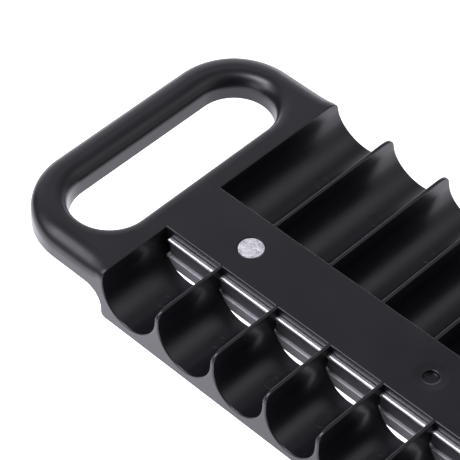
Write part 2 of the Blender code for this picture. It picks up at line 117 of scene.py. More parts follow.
# Bays, the widest by the handle
WIDEST_BAY = 34.5 * MM
BAY_SHARES = (
    1.0, 0.962, 0.875, 0.858, 0.812, 0.754, 0.71, 0.681, 0.652, 0.623, 0.623, 0.623, 0.618,
)
THICKEST_FLOOR = 5.0 * MM
FLOOR_STEP = 0.33 * MM
THINNEST_FLOOR = 3.9 * MM
DIVIDER = 1.9 * MM
DRAFT = 0.023
WALL = 2.2 * MM
BAY_STEPS = 36
EDGE_ROUND = 0.7 * MM
EDGE_STEPS = 4
MOUTH_ROUND = 0.77 * MM
MOUTH_REACH = 1.2 * MOUTH_ROUND
MOUTH_STEPS = 5
LEAST_INSET = 0.1 * MM
# A round starts this far above the face that it is cut into, so the two surfaces cross
CLEAR_OF_FACE = 0.012 * MM
SCALLOP_STEPS = 14
CORNER_CUT_SHARE = 0.6
OVERRUN = 2.0 * MM

# Spine, with flush dishes for the rivets' heads and the gate as (radius, depth) in millimetres
SPINE_THICKNESS = 3.9 * MM
BAR_PROUD = 2.75 * MM
SEAT_GAP = 0.3 * MM
POCKET_INSET = 2.5 * MM
RIVET_X = (-109.7928 * MM, 33.1019 * MM, 175.9967 * MM)
RIVET_HOLE_RADIUS = 2.8 * MM
HOLE_DEPTH = 6.0 * MM
HOLE_STEPS = 32
RIVET_DISH = ((7.0, 0), (6.7, 0.12), (6.6, 0.4), (6.6, 1.4))
RIVET_DISH_STEPS = 48
GATE_DISH_STEPS = 64
GATE_DISH = (
    (8.9, 0), (7.6, 0.09), (6.3, 0.18), (5.0, 0.24), (4.15, 0.3), (3.9, 0.42), (3.8, 0.7),
    (3.65, 1.85), (3.3, 2.2),
)

Bay = namedtuple("Bay", "x_hi centre radius centre_depth")
Row = namedtuple("Row", "side inner_y face_y lean")
near_row = Row(-1, SPINE_NEAR_Y, NEAR_FACE_Y, NEAR_LEAN)
far_row = Row(1, SPINE_FAR_Y, FAR_FACE_Y, FAR_LEAN)


def lay_out_bays():
    """The bays side by side, each with drafted walls that run into a round floor."""
    bays = []
    x_lo = BAYS_START_X
    for index, share in enumerate(BAY_SHARES):
        width = WIDEST_BAY * share
        floor = TRAY_HEIGHT - max(THICKEST_FLOOR - index * FLOOR_STEP, THINNEST_FLOOR)
        radius = (width / 2 - DRAFT * floor) / (1 - DRAFT)
        bays.append(Bay(x_lo + width, x_lo + width / 2, radius, floor - radius))
        x_lo += width + DIVIDER
    return bays


def face_y(row, depth):
    """Y of a row's leaning outer face at a depth."""
    return row.face_y + row.side * row.lean * depth


def arc(centre_x, centre_y, radius, start, end, steps):
    """Points of an arc, its angles in degrees and both ends included."""
    angles = [math.radians(start + (end - start) * step / steps) for step in range(steps + 1)]
    return [(centre_x + radius * math.cos(a), centre_y + radius * math.sin(a)) for a in angles]


def crowned_edge(fillet, tilt=CROWN_TILT):
    """An edge as (inward, depth) from the level top to the wall: a slight crown, then a fillet."""
    tilt = math.radians(tilt)
    reach = CROWN_RADIUS * math.sin(tilt) + fillet * (1 - math.sin(tilt))
    points = []
    for step in range(CROWN_STEPS):
        a = tilt * step / CROWN_STEPS
        points.append((reach - CROWN_RADIUS * math.sin(a), CROWN_RADIUS * (1 - math.cos(a))))
    for step in range(FILLET_STEPS + 1):
        a = tilt + (math.pi / 2 - tilt) * step / FILLET_STEPS
        out = CROWN_RADIUS * math.sin(tilt) + fillet * (math.sin(a) - math.sin(tilt))
        down = CROWN_RADIUS * (1 - math.cos(tilt)) + fillet * (math.cos(tilt) - math.cos(a))
        points.append((reach - out, down))
    return points


def blend(value, stops):
    """A size read from (position, size) stops, in a straight line between two of them."""
    for (start, first), (end, last) in zip(stops, stops[1:]):
        if value <= end:
            return first + (last - first) * (value - start) / (end - start)
    return stops[-1][1]


def solid_between(rings, name):
    """A closed mesh skinned over rings of points, each as (x, y, depth)."""
    shape = bmesh.new()
    lines = [
        [shape.verts.new((x, y, TRAY_HEIGHT - depth)) for x, y, depth in ring] for ring in rings
    ]
    count = len(lines[0])
    for lower, upper in zip(lines, lines[1:]):
        for k in range(count):
            after = (k + 1) % count
            shape.faces.new((lower[k], lower[after], upper[after], upper[k]))
    shape.faces.new(lines[0])
    shape.faces.new(list(reversed(lines[-1])))
    bmesh.ops.recalc_face_normals(shape, faces=shape.faces)
    mesh = bpy.data.meshes.new(name)
    shape.to_mesh(mesh)
    shape.free()
    return mesh


def join_meshes(meshes, name):
    """Several closed meshes as one."""
    shape = bmesh.new()
    for mesh in meshes:
        shape.from_mesh(mesh)
        bpy.data.meshes.remove(mesh)
    joined = bpy.data.meshes.new(name)
    shape.to_mesh(joined)
    shape.free()
    return joined


def place(name, mesh):
    """Put a mesh in the scene under a name."""
    piece = bpy.data.objects.new(name, mesh)
    bpy.context.scene.collection.objects.link(piece)
    return piece


def keep_modified(body):
    """Make what a body's modifiers give its own mesh."""
    graph = bpy.context.evaluated_depsgraph_get()
    result = bpy.data.meshes.new_from_object(body.evaluated_get(graph))
    body.modifiers.clear()
    old = body.data
    body.data = result
    bpy.data.meshes.remove(old)


def carve(body, cutters, operation="DIFFERENCE"):
    """Cut each mesh out of a body, or join it on, and keep only the result."""
    for cutter in cutters:
        guide = place(cutter.name, cutter)
        step = body.modifiers.new("carve", "BOOLEAN")
        step.operation = operation
        step.solver = "EXACT"
        step.object = guide
        keep_modified(body)
        bpy.data.objects.remove(guide)
        bpy.data.meshes.remove(cutter)


def tray_outline(depth, grow):
    """The tray's outline at a depth, with large corners at the handle, whose end is upright."""
    x_lo = HANDLE_X - END_LEAN * max(depth, HANDLE_THICKNESS) - grow
    x_hi = FAR_END_X + END_LEAN * depth + grow
    y_lo = face_y(near_row, depth) - grow
    y_hi = face_y(far_row, depth) + grow
    large = HANDLE_CORNER + grow
    small = END_CORNER + grow
    outline = arc(x_lo + large, y_lo + large, large, 180, 270, HANDLE_CORNER_STEPS)
    outline += [(x, y_lo) for x in GRIP_ENDS]
    outline += arc(x_hi - small, y_lo + small, small, 270, 360, END_CORNER_STEPS)
    outline += arc(x_hi - small, y_hi - small, small, 0, 90, END_CORNER_STEPS)
    outline += [(x, y_hi) for x in reversed(GRIP_ENDS)]
    outline += arc(x_lo + large, y_hi - large, large, 90, 180, HANDLE_CORNER_STEPS)
    return [(x, y, depth) for x, y in outline]


def outer_fillets():
    """The upper round at each point of the tray's outline, fuller on the handle's arms."""
    whole = HANDLE_CORNER_STEPS
    near = ((0, OUTER_FILLET), (whole // 2, OUTER_FILLET), (whole, NEAR_GRIP_FILLET))
    far = ((0, FAR_GRIP_FILLET), (whole // 2, OUTER_FILLET), (whole, OUTER_FILLET))
    near_out = ((0, NEAR_GRIP_FILLET), (1, OUTER_FILLET))
    far_in = ((0, OUTER_FILLET), (1, FAR_GRIP_FILLET))
    fillets = [blend(step, near) for step in range(whole + 1)]
    fillets += [blend(share, near_out) for share in GRIP_RUN_OUT]
    fillets += [OUTER_FILLET] * 2 * (END_CORNER_STEPS + 1)
    fillets += [blend(1 - share, far_in) for share in reversed(GRIP_RUN_OUT)]
    return fillets + [blend(step, far) for step in range(whole + 1)]


def tray_block():
    """The outer form before anything is taken out, crowned and filleted at its top."""
    edges = [crowned_edge(fillet) for fillet in outer_fillets()]
    rings = []
    for step in range(len(edges[0])):
        ring = []
        for k, edge in enumerate(edges):
            inward, depth = edge[step]
            ring.append(tray_outline(depth, -inward)[k])
        rings.append(ring)
    rings.append(tray_outline(HANDLE_THICKNESS, 0))
    for inward, rise in ((0, 1), (0.3, 0.3), (1, 0)):
        rings.append(tray_outline(TRAY_HEIGHT - rise * FOOT_ROUND, -inward * FOOT_ROUND))
    return solid_between(rings, "tray_moulding_body")


def undercut():
    """The space below the handle, which runs into the tray's end in a round."""
    corner_x = TRAY_START_X - UNDERCUT_RADIUS
    corner_depth = HANDLE_THICKNESS + UNDERCUT_RADIUS
    foot_x = TRAY_START_X + FOOT_RADIUS
    below = TRAY_HEIGHT + OVERRUN
    outline = [(HANDLE_X - PAST_HANDLE, below), (HANDLE_X - PAST_HANDLE, HANDLE_THICKNESS)]
    outline += arc(corner_x, corner_depth, UNDERCUT_RADIUS, 270, 360, UNDERCUT_STEPS)
    outline += arc(foot_x, TRAY_HEIGHT - FOOT_RADIUS, FOOT_RADIUS, 180, 90, FOOT_STEPS)
    outline.append((foot_x, below))
    sides = (-ALL_ACROSS, ALL_ACROSS)
    return solid_between([[(x, y, depth) for x, depth in outline] for y in sides], "undercut")


def slot_outline(grow, depth):
    """The hand slot's outline, straight with round ends."""
    radius = SLOT_WIDTH / 2
    centre_x = HANDLE_X + HANDLE_BAR + radius
    near_y = NEAR_FACE_Y + NEAR_ARM + radius
    far_y = FAR_FACE_Y - FAR_ARM - radius
    outline = arc(centre_x, near_y, radius + grow, 180, 360, SLOT_STEPS)
    outline += arc(centre_x, far_y, radius + grow, 0, 180, SLOT_STEPS)
    return [(x, y, depth) for x, y in outline]


def hand_slot():
    """The hand slot with its full upper round and a small one at its lower edge."""
    turns = [
        start + 180 * step / SLOT_STEPS for start in (180, 0) for step in range(SLOT_STEPS + 1)
    ]
    edges = []
    for turn in turns:
        fillet = blend(turn, SLOT_FILLETS)
        crown = min(1, (NO_CROWN_FROM - fillet) / (NO_CROWN_FROM - FULL_CROWN_TO))
        edges.append(crowned_edge(fillet, SLOT_TILT * crown))
    rings = [
        slot_outline(SLOT_LIP, HANDLE_THICKNESS + OVERRUN),
        slot_outline(SLOT_LIP, HANDLE_THICKNESS),
        slot_outline(0, HANDLE_THICKNESS - SLOT_LIP),
    ]
    for step in reversed(range(len(edges[0]))):
        ring = []
        for k, edge in enumerate(edges):
            inward, depth = edge[step]
            wall = DRAFT * (HANDLE_THICKNESS - depth)
            ring.append(slot_outline(wall + inward, depth)[k])
        rings.append(ring)
    rings.append([(x, y, -OVERRUN) for x, y, depth in rings[-1]])
    return solid_between(rings, "hand_slot")


def core_outline(skin, depth):
    """The hollow below the handle's bar and arms, a skin away from their walls."""
    radius = HANDLE_CORNER - skin
    end_x = BAYS_START_X - CORE_TO_BAYS
    near_y = NEAR_FACE_Y + skin
    far_y = FAR_FACE_Y - skin
    corner_x = HANDLE_X + HANDLE_CORNER
    outline = [(end_x, far_y)]
    outline += arc(corner_x, far_y - radius, radius, 90, 180, CORE_CORNER_STEPS)
    outline += arc(corner_x, near_y + radius, radius, 180, 270, CORE_CORNER_STEPS)
    outline.append((end_x, near_y))
    inner = SLOT_WIDTH / 2 + skin
    slot_x = HANDLE_X + HANDLE_BAR + SLOT_WIDTH / 2
    opening = math.degrees(math.acos((end_x - slot_x) / inner))
    near_centre = NEAR_FACE_Y + NEAR_ARM + SLOT_WIDTH / 2
    far_centre = FAR_FACE_Y - FAR_ARM - SLOT_WIDTH / 2
    outline += arc(slot_x, near_centre, inner, 360 - opening, 180, CORE_SLOT_STEPS)
    outline += arc(slot_x, far_centre, inner, 180, opening, CORE_SLOT_STEPS)
    return [(x, y, depth) for x, y in outline]


def handle_core():
    """The hollow below the handle, which keeps its walls even and narrows into its roof."""
    return solid_between([
        core_outline(CORE_SKIN, HANDLE_THICKNESS + OVERRUN),
        core_outline(CORE_SKIN, CORE_SHOULDER),
        core_outline(CORE_SKIN + CORE_NARROWING, CORE_ROOF),
    ], "core")


def core_ribs():
    """Ribs across the handle's hollow, four along the bar and one in each arm."""
    slot_x = HANDLE_X + HANDLE_BAR
    slot_lo = NEAR_FACE_Y + NEAR_ARM
    slot_hi = FAR_FACE_Y - FAR_ARM
    first_y = slot_lo + SLOT_WIDTH / 2
    straight = slot_hi - slot_lo - SLOT_WIDTH
    arm_x = slot_x + SLOT_WIDTH / 2
    # Each rib as where it starts and ends, and its middle in Y or in X
    places = [(HANDLE_X, slot_x, first_y + straight * rib / 3, None) for rib in range(4)]
    places += [(NEAR_FACE_Y, slot_lo, None, arm_x), (slot_hi, FAR_FACE_Y, None, arm_x)]
    skin = CORE_SKIN - RIB_BITE
    levels = (
        (skin, HANDLE_THICKNESS - RIB_BITE), (skin, CORE_SHOULDER),
        (skin + CORE_NARROWING, RIB_ROOF),
    )
    ribs = []
    for start, end, at_y, at_x in places:
        rings = []
        for inset, depth in levels:
            lo, hi = start + inset, end - inset
            ring = []
            for along, across in ((lo, -0.5), (hi, -0.5), (hi, 0.5), (lo, 0.5)):
                if at_x is None:
                    ring.append((along, at_y + across * CORE_RIB, depth))
                else:
                    ring.append((at_x + across * CORE_RIB, along, depth))
            rings.append(ring)
        ribs.append(solid_between(rings, "rib"))
    return join_meshes(ribs, "ribs")


def bay_section(bay, grow, top):
    """Section of a bay as (x, depth): half round, drafted walls, and edges rounded at a depth."""
    reach = bay.radius + grow
    spread = DRAFT * (bay.centre_depth - top - EDGE_ROUND)
    left = bay.centre - reach - spread - EDGE_ROUND
    right = bay.centre + reach + spread + EDGE_ROUND
    round_depth = top - CLEAR_OF_FACE + EDGE_ROUND
    section = [(left, -OVERRUN)]
    section += arc(left, round_depth, EDGE_ROUND, 270, 360, EDGE_STEPS)
    section += arc(bay.centre, bay.centre_depth, reach, 180, 0, BAY_STEPS)
    section += arc(right, round_depth, EDGE_ROUND, 180, 270, EDGE_STEPS)
    section.append((right, -OVERRUN))
    return section


def bay_cutter(row, bay):
    """One bay from the spine's rounded edge to past the outer face, flared at its mouth."""
    rings = []
    section = bay_section(bay, 0, 0)
    for step in range(EDGE_STEPS + 1):
        a = math.radians(90 * step / EDGE_STEPS)
        y = row.inner_y - row.side * EDGE_ROUND * (1 - math.sin(a))
        limit = EDGE_ROUND * (1 - math.cos(a)) - CLEAR_OF_FACE
        rings.append([(x, y, min(depth, limit)) for x, depth in section])
    rings.append([(x, row.inner_y, depth) for x, depth in section])
    edge = crowned_edge(OUTER_FILLET)
    for inward, top in edge:
        if inward > MOUTH_REACH:
            y = face_y(row, top) - row.side * inward
            rings.append([(x, y, depth) for x, depth in bay_section(bay, 0, top)])
    for outward, inset in arc(MOUTH_ROUND, MOUTH_ROUND, MOUTH_ROUND, 180, 270, MOUTH_STEPS):
        top = next(depth for inward, depth in edge if inward <= max(inset, LEAST_INSET))
        section = bay_section(bay, outward, top)
        rings.append([(x, face_y(row, depth) - row.side * inset, depth) for x, depth in section])
    section = bay_section(bay, MOUTH_ROUND, edge[-1][1])
    rings.append([(x, face_y(row, depth) + row.side * OVERRUN, depth) for x, depth in section])
    return solid_between(rings, "bay")


def underside(row, bays):
    """The hollow below a row, whose roof follows the shells of its bays."""
    x_lo = TRAY_START_X + WALL
    x_hi = FAR_END_X - WALL
    cut = (END_CORNER - WALL) * CORNER_CUT_SHARE

    def roof(bay, x):
        """Depth of the underside of a bay's shell."""
        reach = bay.radius + WALL
        return bay.centre_depth + math.sqrt(max(reach ** 2 - (x - bay.centre) ** 2, 0))

    def section(x_end):
        """The scalloped section as (x, depth) up to an end."""
        points = [(x_lo, TRAY_HEIGHT + OVERRUN), (x_lo, roof(bays[0], x_lo))]
        for bay in bays:
            start = points[-1][0]
            end = x_end if bay is bays[-1] else bay.x_hi + DIVIDER / 2
            for step in range(1, SCALLOP_STEPS + 1):
                x = start + (end - start) * step / SCALLOP_STEPS
                points.append((x, roof(bay, x)))
        points.append((x_end, TRAY_HEIGHT + OVERRUN))
        return points

    inner_y = row.inner_y + row.side * (BAR_PROUD + SEAT_GAP + WALL)
    full = section(x_hi)
    clipped = section(x_hi - cut)
    rings = [[(x, inner_y, depth) for x, depth in full]]
    for points, inset in ((full, WALL + cut), (clipped, WALL)):
        rings.append([(x, face_y(row, depth) - row.side * inset, depth) for x, depth in points])
    return solid_between(rings, "underside")


def bar_pocket():
    """The pocket below the spine that takes the magnet bar."""
    x_lo = BAYS_START_X + POCKET_INSET
    x_hi = BAYS_END_X - POCKET_INSET
    reach = (SPINE_FAR_Y - SPINE_NEAR_Y) / 2 + BAR_PROUD + SEAT_GAP
    y_lo = SPINE_CENTRE_Y - reach
    y_hi = SPINE_CENTRE_Y + reach
    corners = ((x_lo, y_lo), (x_hi, y_lo), (x_hi, y_hi), (x_lo, y_hi))
    levels = (TRAY_HEIGHT + OVERRUN, SPINE_THICKNESS)
    return solid_between([[(x, y, depth) for x, y in corners] for depth in levels], "pocket")


def turned(x, steps, levels):
    """A form turned about an upright axis on the spine's middle, its levels top first."""
    rings = []
    for radius, depth in reversed(levels):
        points = arc(x, SPINE_CENTRE_Y, radius, 0, 360, steps)[:-1]
        rings.append([(px, py, depth) for px, py in points])
    return solid_between(rings, "turned")


def dish(x, steps, profile):
    """A cutter for a dish in the spine's top."""
    levels = [(radius * MM, depth * MM) for radius, depth in profile]
    return turned(x, steps, [(levels[0][0], -OVERRUN)] + levels)


bays = lay_out_bays()
tray = place("tray_moulding_shell", tray_block())
carve(tray, [undercut(), hand_slot(), handle_core()])
carve(tray, [core_ribs()], "UNION")
for row in (near_row, far_row):
    # Neighbours would overlap at their flared mouths, so every other bay is cut in one step
    for first in (0, 1):
        carve(tray, [join_meshes([bay_cutter(row, bay) for bay in bays[first::2]], "bays")])
    carve(tray, [underside(row, bays)])
carve(tray, [bar_pocket()])
dishes = [dish(x, RIVET_DISH_STEPS, RIVET_DISH) for x in RIVET_X]
dishes.append(dish((HANDLE_X + FAR_END_X) / 2, GATE_DISH_STEPS, GATE_DISH))
hole = ((RIVET_HOLE_RADIUS, -OVERRUN), (RIVET_HOLE_RADIUS, HOLE_DEPTH))
holes = [turned(x, HOLE_STEPS, hole) for x in RIVET_X]
carve(tray, [join_meshes(dishes, "dishes"), join_meshes(holes, "holes")])


def smooth_out(body, angle):
    """Smooth shading up to an angle, with level faces kept level."""
    body.data.shade_smooth()
    body.data.set_sharp_from_angle(angle=math.radians(angle))
    step = body.modifiers.new("level", "WEIGHTED_NORMAL")
    step.keep_sharp = True
    keep_modified(body)


TRAY_SMOOTH_ANGLE = 32
smooth_out(tray, TRAY_SMOOTH_ANGLE)


def linear(colour):
    """An sRGB hex colour as linear RGBA."""
    channels = [int(colour[k:k + 2], 16) / 255 for k in (1, 3, 5)]
    return (*(c / 12.92 if c <= 0.04045 else ((c + 0.055) / 1.055) ** 2.4 for c in channels), 1.0)


def add(tree, kind, links=None, **settings):
    """Add a node, give it its settings, and link its inputs to the sockets given for them."""
    node = tree.nodes.new(kind)
    for key, value in settings.items():
        setattr(node, key, value)
    for key, value in (links or {}).items():
        socket = node.inputs[key]
        if isinstance(value, bpy.types.NodeSocket):
            tree.links.new(value, socket)
        else:
            socket.default_value = value
    return node


def new_material(name):
    """An empty material with its tree and its output."""
    made = bpy.data.materials.new(name)
    made.use_nodes = True
    made.node_tree.nodes.clear()
    return made, made.node_tree, add(made.node_tree, "ShaderNodeOutputMaterial")


# Black polypropylene, moulded against a spark-eroded cavity: a deep satin black whose fine
# grain softens every reflection. The grain is about 0.12 mm and is drawn at 0.35 mm to show,
# and the gloss drifts over about 22 mm, as the melt flowed.
PLASTIC_GRAIN = 0.35 * MM
PLASTIC_FLOW = 22 * MM
plastic, tree, output = new_material("polypropylene_spark_eroded")
place_at = add(tree, "ShaderNodeTexCoord").outputs["Object"]
grain = add(tree, "ShaderNodeTexNoise", {
    "Vector": place_at, "Scale": 1 / PLASTIC_GRAIN, "Detail": 3.0, "Roughness": 0.6,
})
flow = add(tree, "ShaderNodeTexNoise", {
    "Vector": place_at, "Scale": 1 / PLASTIC_FLOW, "Detail": 2.0, "Roughness": 0.5,
})
satin = add(tree, "ShaderNodeMapRange", {
    "Value": flow.outputs["Fac"], "From Min": 0.3, "From Max": 0.7, "To Min": 0.28, "To Max": 0.34,
})
tone = add(tree, "ShaderNodeMix", {
    "Factor": grain.outputs["Fac"], "A": linear("#0e0e12"), "B": linear("#141419"),
}, data_type="RGBA")
bumps = add(tree, "ShaderNodeBump", {
    "Height": grain.outputs["Fac"], "Strength": 0.12, "Distance": 0.03 * MM,
})
shader = add(tree, "ShaderNodeBsdfPrincipled", {
    "Base Color": tone.outputs["Result"], "Roughness": satin.outputs["Result"], "IOR": 1.49,
    "Normal": bumps.outputs["Normal"],
})
tree.links.new(shader.outputs["BSDF"], output.inputs["Surface"])
tray.data.materials.clear()
tray.data.materials.append(plastic)
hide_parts("tray_moulding")
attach(tray, "root")


# Knock-out pin rings
# The pins that push the moulding out of its mould each leave a fine raised ring on a bay's
# round floor. They are part of the same moulding, at one distance from the spine in each row.
PIN_RADIUS = 3.5 * MM
PIN_LINE = 0.13 * MM
NEAR_PIN = 19.5 * MM
FAR_PIN = 52.0 * MM
RING_STEPS = 56
LINE_SIDES = 6


def pin_ring(shape, bay, y):
    """A ring laid on the round floor of a bay."""
    loops = []
    for step in range(RING_STEPS):
        a = 2 * math.pi * step / RING_STEPS
        loop = []
        for side in range(LINE_SIDES):
            b = 2 * math.pi * side / LINE_SIDES
            out = PIN_RADIUS + PIN_LINE * math.cos(b)
            x = out * math.cos(a)
            depth = bay.centre_depth + math.sqrt(bay.radius ** 2 - x ** 2) - PIN_LINE * math.sin(b)
            corner = (bay.centre + x, y + out * math.sin(a), TRAY_HEIGHT - depth)
            loop.append(shape.verts.new(corner))
        loops.append(loop)
    for loop, after in zip(loops, loops[1:] + loops[:1]):
        for k in range(LINE_SIDES):
            n = (k + 1) % LINE_SIDES
            shape.faces.new((loop[k], after[k], after[n], loop[n]))


shape = bmesh.new()
for pins_y in (SPINE_NEAR_Y - NEAR_PIN, SPINE_FAR_Y + FAR_PIN):
    for bay in bays:
        pin_ring(shape, bay, pins_y)
bmesh.ops.recalc_face_normals(shape, faces=shape.faces)
rings_mesh = bpy.data.meshes.new("knock_out_pin_lines")
shape.to_mesh(rings_mesh)
shape.free()
rings_mesh.shade_smooth()
rings_mesh.materials.append(plastic)
pin_lines = place("knock_out_pin_lines", rings_mesh)
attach(pin_lines, "root")


# Magnet bar's steel: an upper plate and a lower channel
# Cold rolled strip, nickel plated. The plate is sheared, which rolls its upper edges over.
# The channel is folded from thinner and duller strip, with its flanges down.
BAR_INSET = 3.3 * MM
BAR_START_X = BAYS_START_X + BAR_INSET
BAR_END_X = BAYS_END_X - BAR_INSET
PLATE_REACH = 20.25 * MM
PLATE_TOP = 4.65 * MM
PLATE_BOTTOM = 6.2 * MM
PLATE_ROLL = 1.1 * MM
ROLL_STEPS = 8
PLATE_BURR = 0.2 * MM
BURR_STEPS = 3
CHANNEL_REACH = 20.4 * MM
CHANNEL_TOP = 15.4 * MM
CHANNEL_BOTTOM = 21.3 * MM
CHANNEL_SHEET = 1.5 * MM
CHANNEL_BEND = 0.6 * MM
BEND_STEPS = 8
INNER_BEND = 0.4 * MM
INNER_BEND_STEPS = 4
STRIP_SMOOTH_ANGLE = 35
ROLLING_LENGTH = 80 * MM
ROLLING_LINES = 0.3 * MM


def strip(section, name):
    """Strip with one section of (y, depth) along the whole bar, holed for the rivets' shanks."""
    rings = [[(x, SPINE_CENTRE_Y + y, d) for y, d in section] for x in (BAR_START_X, BAR_END_X)]
    piece = place(name, solid_between(rings, name))
    levels = ((RIVET_HOLE_RADIUS, 0), (RIVET_HOLE_RADIUS, TRAY_HEIGHT))
    carve(piece, [join_meshes([turned(x, HOLE_STEPS, levels) for x in RIVET_X], "shanks")])
    smooth_out(piece, STRIP_SMOOTH_ANGLE)
    return piece


roll_y, roll_depth = PLATE_REACH - PLATE_ROLL, PLATE_TOP + PLATE_ROLL
burr_y, burr_depth = PLATE_REACH - PLATE_BURR, PLATE_BOTTOM - PLATE_BURR
section = arc(roll_y, roll_depth, PLATE_ROLL, 0, -90, ROLL_STEPS)
section += arc(-roll_y, roll_depth, PLATE_ROLL, -90, -180, ROLL_STEPS)
section += arc(-burr_y, burr_depth, PLATE_BURR, 180, 90, BURR_STEPS)
section += arc(burr_y, burr_depth, PLATE_BURR, 90, 0, BURR_STEPS)
plate = strip(section, "upper_pole_strip")

inner = CHANNEL_REACH - CHANNEL_SHEET
bend_y, bend_depth = CHANNEL_REACH - CHANNEL_BEND, CHANNEL_TOP + CHANNEL_BEND
inner_y, inner_depth = inner - INNER_BEND, CHANNEL_TOP + CHANNEL_SHEET + INNER_BEND
section = [(CHANNEL_REACH, CHANNEL_BOTTOM)]
section += arc(bend_y, bend_depth, CHANNEL_BEND, 0, -90, BEND_STEPS)
section += arc(-bend_y, bend_depth, CHANNEL_BEND, -90, -180, BEND_STEPS)
section += [(-CHANNEL_REACH, CHANNEL_BOTTOM), (-inner, CHANNEL_BOTTOM)]
section += arc(-inner_y, inner_depth, INNER_BEND, -180, -90, INNER_BEND_STEPS)
section += arc(inner_y, inner_depth, INNER_BEND, -90, 0, INNER_BEND_STEPS)
section.append((inner, CHANNEL_BOTTOM))
channel = strip(section, "lower_pole_folded_strip")


def plated_strip(name, darkest, lightest, smoothest, roughest):
    """Nickel plate over rolled steel, between two greys and two roughnesses.

    Rolling leaves fine lines along the strip, and the plating follows them. They are about
    0.1 mm apart and are drawn at 0.3 mm to show.
    """
    plated, tree, output = new_material(name)
    place_at = add(tree, "ShaderNodeTexCoord").outputs["Object"]
    along = add(tree, "ShaderNodeMapping", {
        "Vector": place_at, "Scale": (1 / ROLLING_LENGTH, 1 / ROLLING_LINES, 1 / ROLLING_LINES),
    })
    lines = add(tree, "ShaderNodeTexNoise", {
        "Vector": along.outputs["Vector"], "Scale": 1.0, "Detail": 3.0, "Roughness": 0.6,
    })
    polish = add(tree, "ShaderNodeMapRange", {
        "Value": lines.outputs["Fac"], "From Min": 0.3, "From Max": 0.7,
        "To Min": smoothest, "To Max": roughest,
    })
    scratches = add(tree, "ShaderNodeBump", {
        "Height": lines.outputs["Fac"], "Strength": 0.15, "Distance": 0.02 * MM,
    })
    grey = add(tree, "ShaderNodeMix", {
        "Factor": lines.outputs["Fac"], "A": linear(darkest), "B": linear(lightest),
    }, data_type="RGBA")
    shader = add(tree, "ShaderNodeBsdfPrincipled", {
        "Base Color": grey.outputs["Result"], "Roughness": polish.outputs["Result"],
        "Metallic": 1.0, "Normal": scratches.outputs["Normal"],
    })
    tree.links.new(shader.outputs["BSDF"], output.inputs["Surface"])
    return plated


bright = plated_strip("nickel_plated_rolled_steel", "#8c8c90", "#dcdce0", 0.28, 0.42)
dull = plated_strip("nickel_plated_satin_steel", "#a6a6aa", "#c8c8cc", 0.66, 0.78)
for piece, finish, node in (
    (plate, bright, "upper_pole_plate"), (channel, dull, "lower_pole_channel"),
):
    piece.data.materials.clear()
    piece.data.materials.append(finish)
    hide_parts(node)
    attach(piece, "root")


# Magnets
# Hard ferrite blocks, pressed, sintered and ground, in two rows between the steel pieces.
# Ground ferrite is a cold grey black with a powdery grain of about 0.2 mm, drawn at 0.3 mm.
FERRITE_GRAIN = 0.3 * MM
ferrite, tree, output = new_material("ferrite_ground")
place_at = add(tree, "ShaderNodeTexCoord").outputs["Object"]
powder = add(tree, "ShaderNodeTexNoise", {
    "Vector": place_at, "Scale": 1 / FERRITE_GRAIN, "Detail": 4.0, "Roughness": 0.7,
})
dust = add(tree, "ShaderNodeMix", {
    "Factor": powder.outputs["Fac"], "A": linear("#333236"), "B": linear("#504f54"),
}, data_type="RGBA")
pits = add(tree, "ShaderNodeBump", {
    "Height": powder.outputs["Fac"], "Strength": 0.3, "Distance": 0.05 * MM,
})
shader = add(tree, "ShaderNodeBsdfPrincipled", {
    "Base Color": dust.outputs["Result"], "Roughness": 0.5, "Normal": pits.outputs["Normal"],
})
tree.links.new(shader.outputs["BSDF"], output.inputs["Surface"])
for name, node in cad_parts.items():
    if name.startswith("magnet_"):
        node.data.materials.clear()
        node.data.materials.append(ferrite)


# Rivets
# Soft aluminium, with a wide flush head in the spine and a tail headed over inside the
# channel. Heading leaves the face slightly uneven and its edge rolled.
HEAD_RADIUS = 6.3 * MM
HEAD_THICKNESS = 1.1 * MM
HEAD_EDGE = 0.35 * MM
HEAD_CROWN = 0.12 * MM
HEAD_SHARES = (0.01, 0.3, 0.55, 0.75, 0.88)
SHANK_RADIUS = 2.5 * MM
WEB_BOTTOM = 16.9 * MM
TAIL_RADIUS = 4.2 * MM
TAIL_BOTTOM = 18.7 * MM
TAIL_ROUND = 1.1 * MM
TAIL_TIP = 0.042 * MM
RIVET_STEPS = 64
RIVET_EDGE_STEPS = 5
RIVET_SMOOTH_ANGLE = 50
MOTTLE = 3.0 * MM


def turned_rivet(name, x):
    """A rivet as one turned solid: crowned head, shank and headed tail."""
    edge, tail = HEAD_RADIUS - HEAD_EDGE, TAIL_RADIUS - TAIL_ROUND
    levels = [(HEAD_RADIUS * share, HEAD_CROWN * share ** 2) for share in HEAD_SHARES]
    levels += arc(edge, HEAD_CROWN + HEAD_EDGE, HEAD_EDGE, -80, 0, RIVET_EDGE_STEPS)
    levels += [(HEAD_RADIUS, HEAD_THICKNESS), (SHANK_RADIUS, HEAD_THICKNESS)]
    levels += [(SHANK_RADIUS, WEB_BOTTOM), (TAIL_RADIUS, WEB_BOTTOM)]
    levels += arc(tail, TAIL_BOTTOM - TAIL_ROUND, TAIL_ROUND, 0, 80, RIVET_EDGE_STEPS)
    levels.append((TAIL_TIP, TAIL_BOTTOM))
    rivet = place(name, turned(x, RIVET_STEPS, levels))
    smooth_out(rivet, RIVET_SMOOTH_ANGLE)
    return rivet


